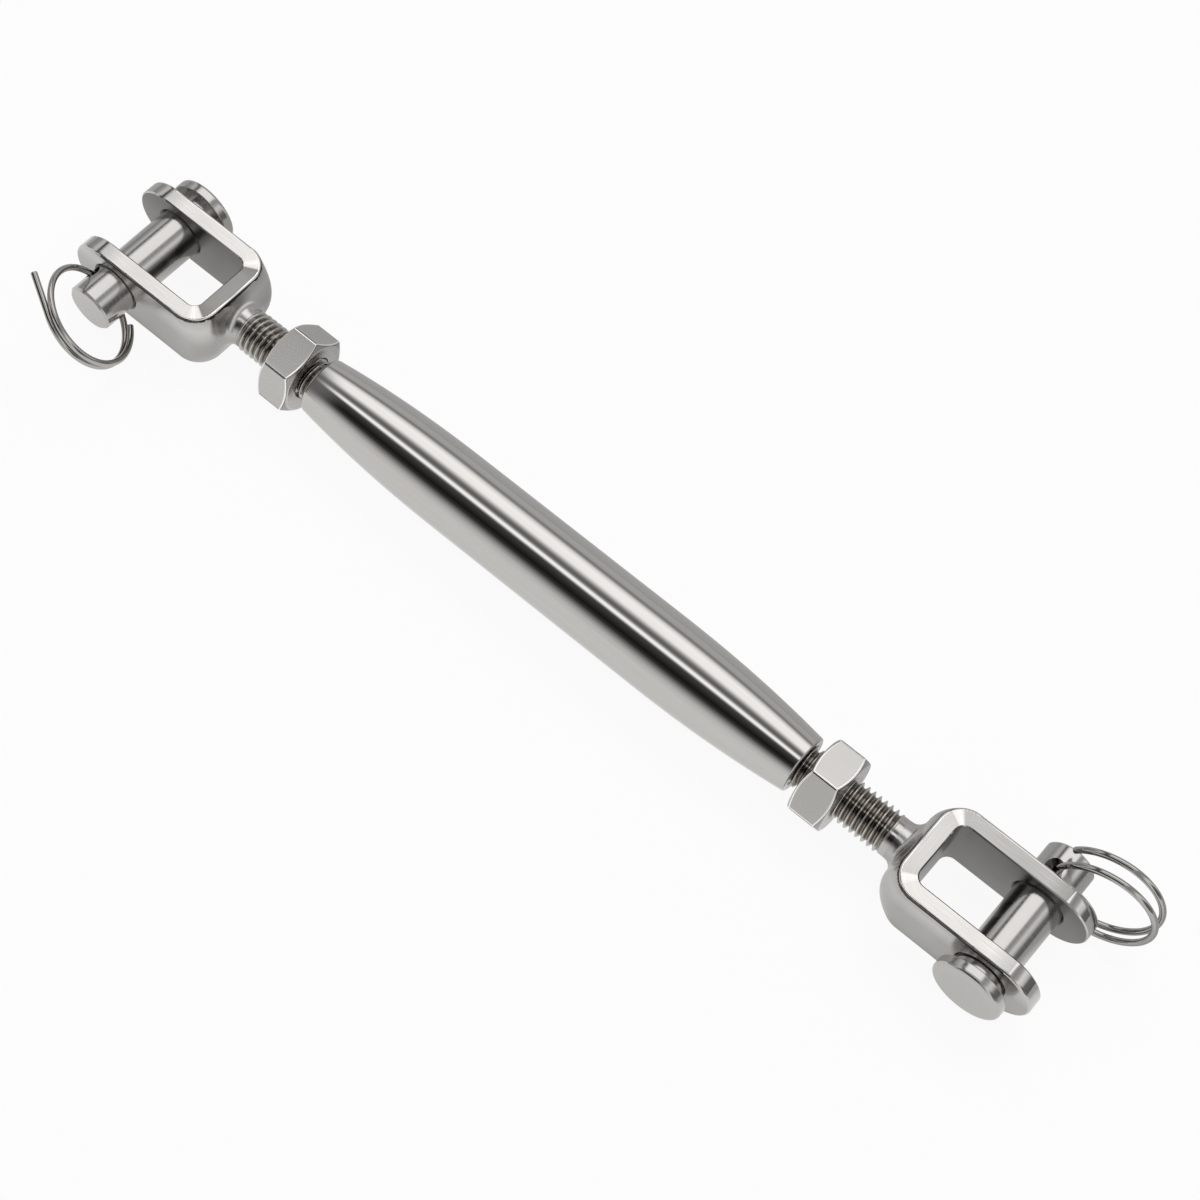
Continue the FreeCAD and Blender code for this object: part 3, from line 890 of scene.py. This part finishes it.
def ring_mesh(sizes, first, last, tail, spread, side, points):
    """Split ring of round wire, its hole's centre at the origin and the hole along X."""
    work = ShapeTree("Wound ring")
    tree = work.tree
    take = work.open(wire_radius=sizes.wire_radius, ring_radius=sizes.ring_radius, rise=sizes.rise, spread=spread,
                     first_angle=math.radians(first), last_angle=math.radians(last), tail=tail, side=float(side),
                     points=points, material=finishes()["wire_steel"])
    full_turn = 2 * math.pi
    hole_angle = math.radians(450)
    arc = take.ring_radius * (take.last_angle - take.first_angle)
    travel = (arc + take.tail) * (output(tree, "GeometryNodeInputIndex") / (take.points - 1.0))
    past_tail = (travel - take.tail).at_least(0.0)
    on_tail = (take.tail - travel).at_least(0.0)
    swept = take.first_angle + past_tail / take.ring_radius
    turns = (swept - hole_angle) / full_turn
    sprung = map_range(turns, 0.0, 0.7, 0.0, take.spread, interpolation_type="SMOOTHSTEP")
    slope = take.rise / (take.ring_radius * full_turn)
    x = take.ring_radius * calc("COSINE", swept) + on_tail * calc("SINE", take.first_angle)
    y = take.ring_radius * (1.0 - calc("SINE", swept)) + on_tail * calc("COSINE", take.first_angle)
    z = take.side * (take.rise * turns + sprung - on_tail * slope)
    line = output(tree, "GeometryNodeCurvePrimitiveLine")
    steps = output(tree, "GeometryNodeResampleCurve", {"Curve": line, "Count": take.points})
    path = output(tree, "GeometryNodeSetPosition", {0: steps, "Position": join(x, y, z)})
    circle = output(tree, "GeometryNodeCurvePrimitiveCircle", {"Resolution": 28, "Radius": take.wire_radius})
    wire = output(tree, "GeometryNodeCurveToMesh", {"Curve": path, "Profile Curve": circle, "Fill Caps": True})
    return outward(work.close(wire, take.material))


def ring_place(hole_turn, swing_angle, head_side, pin_x, sit):
    """Matrix that hangs a ring in the cross hole of its pin; the angles are in degrees."""
    turn = math.radians(hole_turn)
    lean = math.radians(swing_angle)
    across = Vector((math.cos(turn), 0, -math.sin(turn)))
    upright = Vector((math.sin(turn), 0, math.cos(turn)))
    middle = Vector((0, -head_side * math.cos(lean), 0)) + upright * math.sin(lean)
    normal = across.cross(middle)
    seat = Vector((pin_x, -head_side * HOLE_MIDDLE_Y, 0)) - middle * sit
    return Matrix.Translation(seat) @ Matrix((across, middle, normal)).transposed().to_4x4()


class RIG_OT_wind_rings(bpy.types.Operator):
    """Winds both split rings and hangs them in the cross holes of their pins"""
    bl_idname = "rigging.wind_rings"
    bl_label = "Wind split rings"

    def execute(self, context):
        sizes = context.scene.rig_ring
        points = context.scene.rig_fineness.wire_points
        left = ring_mesh(sizes, 237.7, 765, sizes.left_tail, 0.0, -1, points)
        left.transform(ring_place(40, 32, 1, 0.0, sizes.sit))
        right = ring_mesh(sizes, 135, 765, 0.0, sizes.right_spread, 1, points)
        right.transform(ring_place(252, -82, -1, RIGHT_PIN_X, sizes.sit))
        for name, mesh in (("left_ring", left), ("right_ring", right)):
            piece(name + "_wire", softened(outward(mesh), sizes.wire_radius / 4, 3), name, "wire", name)
        return {"FINISHED"}


# Stage

CAMERA_PLACE = (0.2565, -0.2065, 0.465)
CAMERA_TURN = tuple(math.radians(degrees) for degrees in (27.232, -4.545, 40.120))
CAMERA_LENS = 74.45
SENSOR_WIDTH = 36
TABLE_RADIUS = 12.0
TABLE_SIDES = 96
BACKDROP_HEIGHT = 3.2
LAMP_SIDE = 0.5
LAMP_POWER = 1.5
LAMP_PLACE = (-0.1, 0.5, 0.9)   # from the middle of the screw
LAMP_TILT = math.radians(-30)
FLOOR_WHITE = 0.92       # how far the floor is lifted to white where the camera sees it
MIRRORED_WHITE = 0.75    # the share of that lift that shows in the steel
FAR_DIMMING = 0.55       # how much dimmer the table behind the screw is in the steel

# Brightness of the studio round the screw, by the angle about it:
# 0 is the far side, 90 overhead and 180 the near side
ROUND_STOPS = ((0, 0.48), (14, 0.6), (26, 0.56), (32, 0.3), (37, 0.4), (44, 1.1), (53, 1.5), (72, 1.45), (78, 0.9),
               (84, 0.34), (91, 0.15), (97, 0.4), (101, 1.4), (106, 1.6), (109.5, 0.5), (113, 0.08), (124, 0.04),
               (134, 0.012), (144, 0.05), (152, 0.25), (159, 0.5), (168, 0.76), (180, 0.88))
# The same towards the screw's ends, by the share of the way from -X to +X
END_STOPS = ((0.0, 0.3), (0.05, 0.4), (0.10, 0.8), (0.13, 0.75), (0.155, 0.14), (0.19, 0.12), (0.22, 0.35),
             (0.64, 0.5), (0.70, 0.38), (0.77, 0.55), (0.83, 1.1), (0.89, 0.8), (0.925, 0.2), (0.97, 0.15),
             (1.0, 0.3))


def make_world():
    """A studio with bright panels along the screw and a dark one where the camera stands."""
    world = bpy.data.worlds.new("studio")
    bpy.context.scene.world = world
    world.use_nodes = True
    tree = world.node_tree
    x, y, z = split(output(tree, "ShaderNodeTexCoord", pick="Generated"))
    share = calc("ARCTAN2", z.at_least(0.0), y) / math.pi
    around = ramp(share, [(place / 180, float(level)) for place, level in ROUND_STOPS])
    ends = ramp(map_range(x, -1.0, 1.0), END_STOPS)
    to_ends = map_range(abs(x + 0.15), 0.38, 0.46, interpolation_type="SMOOTHSTEP")
    seen = output(tree, "ShaderNodeMix", {0: to_ends, 6: around, 7: ends}, pick=2, data_type="RGBA")
    plug(seen, tree.nodes["Background"].inputs["Color"])


def floor_material(paint):
    """Pale table that keeps a faint shadow and is lifted to white where it is seen. In the steel its far side
    is dimmer, and the backdrop lets the studio through."""
    material = bpy.data.materials.new("pale_table")
    material.use_nodes = True
    tree = material.node_tree
    shader = tree.nodes["Principled BSDF"]
    shader.inputs["Base Color"].default_value = (*paint, 1)
    shader.inputs["Roughness"].default_value = 0.9
    rays = add_node(tree, "ShaderNodeLightPath").outputs
    camera, glossy, through = [
        Value(tree, rays[name]) for name in ("Is Camera Ray", "Is Glossy Ray", "Is Transmission Ray")]
    _, y, z = split(output(tree, "ShaderNodeTexCoord", pick="Object"))
    behind = map_range(y, 0.0, 15 * MM, 0.0, FAR_DIMMING)
    glow = output(tree, "ShaderNodeEmission", {"Color": (*paint, 1), "Strength": 1.0 - glossy * behind})
    seen = camera.at_least(glossy.at_least(through) * MIRRORED_WHITE)
    plain = Value(tree, shader.outputs[0])
    lifted = output(tree, "ShaderNodeMixShader", {0: seen * FLOOR_WHITE, 1: plain, 2: glow})
    clear = output(tree, "ShaderNodeBsdfTransparent")
    opened = output(tree, "ShaderNodeMixShader", {0: glossy * (z > 0.0), 1: lifted, 2: clear})
    plug(opened, tree.nodes["Material Output"].inputs["Surface"])
    return material


class RIG_OT_set_stage(bpy.types.Operator):
    """Lays out the table, the lamp and the camera"""
    bl_idname = "rigging.set_stage"
    bl_label = "Set stage"

    def execute(self, context):
        scene = context.scene
        scene.view_settings.view_transform = "Standard"
        low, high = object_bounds()
        middle_x = (low[0] + high[0]) / 2
        turns = [2 * math.pi * i / TABLE_SIDES for i in range(TABLE_SIDES)]
        edge = [(middle_x + TABLE_RADIUS * math.cos(turn), TABLE_RADIUS * math.sin(turn), low[2])
                for turn in turns]
        rim = [(x, y, z + BACKDROP_HEIGHT) for x, y, z in edge]
        walls = [((i + 1) % TABLE_SIDES, i, TABLE_SIDES + i, TABLE_SIDES + (i + 1) % TABLE_SIDES)
                 for i in range(TABLE_SIDES)]
        mesh = bpy.data.meshes.new("table")
        mesh.from_pydata(edge + rim, [], [tuple(range(TABLE_SIDES)), *walls])
        mesh.materials.append(floor_material(tuple(scene.rig_finish.floor)))
        table = scene_object("table", mesh)
        table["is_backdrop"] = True
        make_world()
        lamp = bpy.data.lights.new("overhead", "AREA")
        lamp.shape = "RECTANGLE"
        lamp.size = LAMP_SIDE
        lamp.size_y = LAMP_SIDE
        lamp.energy = LAMP_POWER
        overhead = scene_object("overhead", lamp)
        overhead.location = Vector((middle_x, 0, 0)) + Vector(LAMP_PLACE)
        overhead.rotation_euler = (LAMP_TILT, 0, 0)
        overhead.visible_glossy = False
        overhead.visible_camera = False
        lens = bpy.data.cameras.new("camera")
        lens.lens = CAMERA_LENS
        lens.sensor_width = SENSOR_WIDTH
        lens.clip_start = 0.01
        camera = scene_object("camera", lens)
        camera.location = CAMERA_PLACE
        camera.rotation_euler = Euler(CAMERA_TURN, "XYZ")
        scene.camera = camera
        return {"FINISHED"}


STEPS = (RIG_OT_turn_barrel, RIG_OT_dress_forks, RIG_OT_cut_nuts, RIG_OT_dress_pins, RIG_OT_wind_rings,
         RIG_OT_set_stage)
GROUPS = {"rig_barrel": BarrelSizes, "rig_thread": ThreadSizes, "rig_nut": NutSizes, "rig_ring": RingSizes,
          "rig_finish": Finish, "rig_fineness": Fineness}


class RIG_PT_panel(bpy.types.Panel):
    """Lists the sizes, the colours and the steps"""
    bl_idname = "RIG_PT_panel"
    bl_label = "Shroud adjuster"
    bl_space_type = "VIEW_3D"
    bl_region_type = "UI"
    bl_category = "Rigging"

    def draw(self, context):
        for name, group in GROUPS.items():
            box = self.layout.box()
            for key in group.__annotations__:
                box.prop(getattr(context.scene, name), key)
        for step in STEPS:
            self.layout.operator(step.bl_idname)


CLASSES = (*GROUPS.values(), *STEPS, RIG_PT_panel)


def register():
    for cls in CLASSES:
        bpy.utils.register_class(cls)
    for name, group in GROUPS.items():
        setattr(bpy.types.Scene, name, PointerProperty(type=group))


def unregister():
    for name in GROUPS:
        delattr(bpy.types.Scene, name)
    for cls in reversed(CLASSES):
        bpy.utils.unregister_class(cls)


def main():
    register()
    bpy.ops.rigging.turn_barrel()
    bpy.ops.rigging.dress_forks()
    bpy.ops.rigging.cut_nuts()
    bpy.ops.rigging.dress_pins()
    bpy.ops.rigging.wind_rings()
    bpy.ops.rigging.set_stage()


if __name__ == "__main__":
    main()
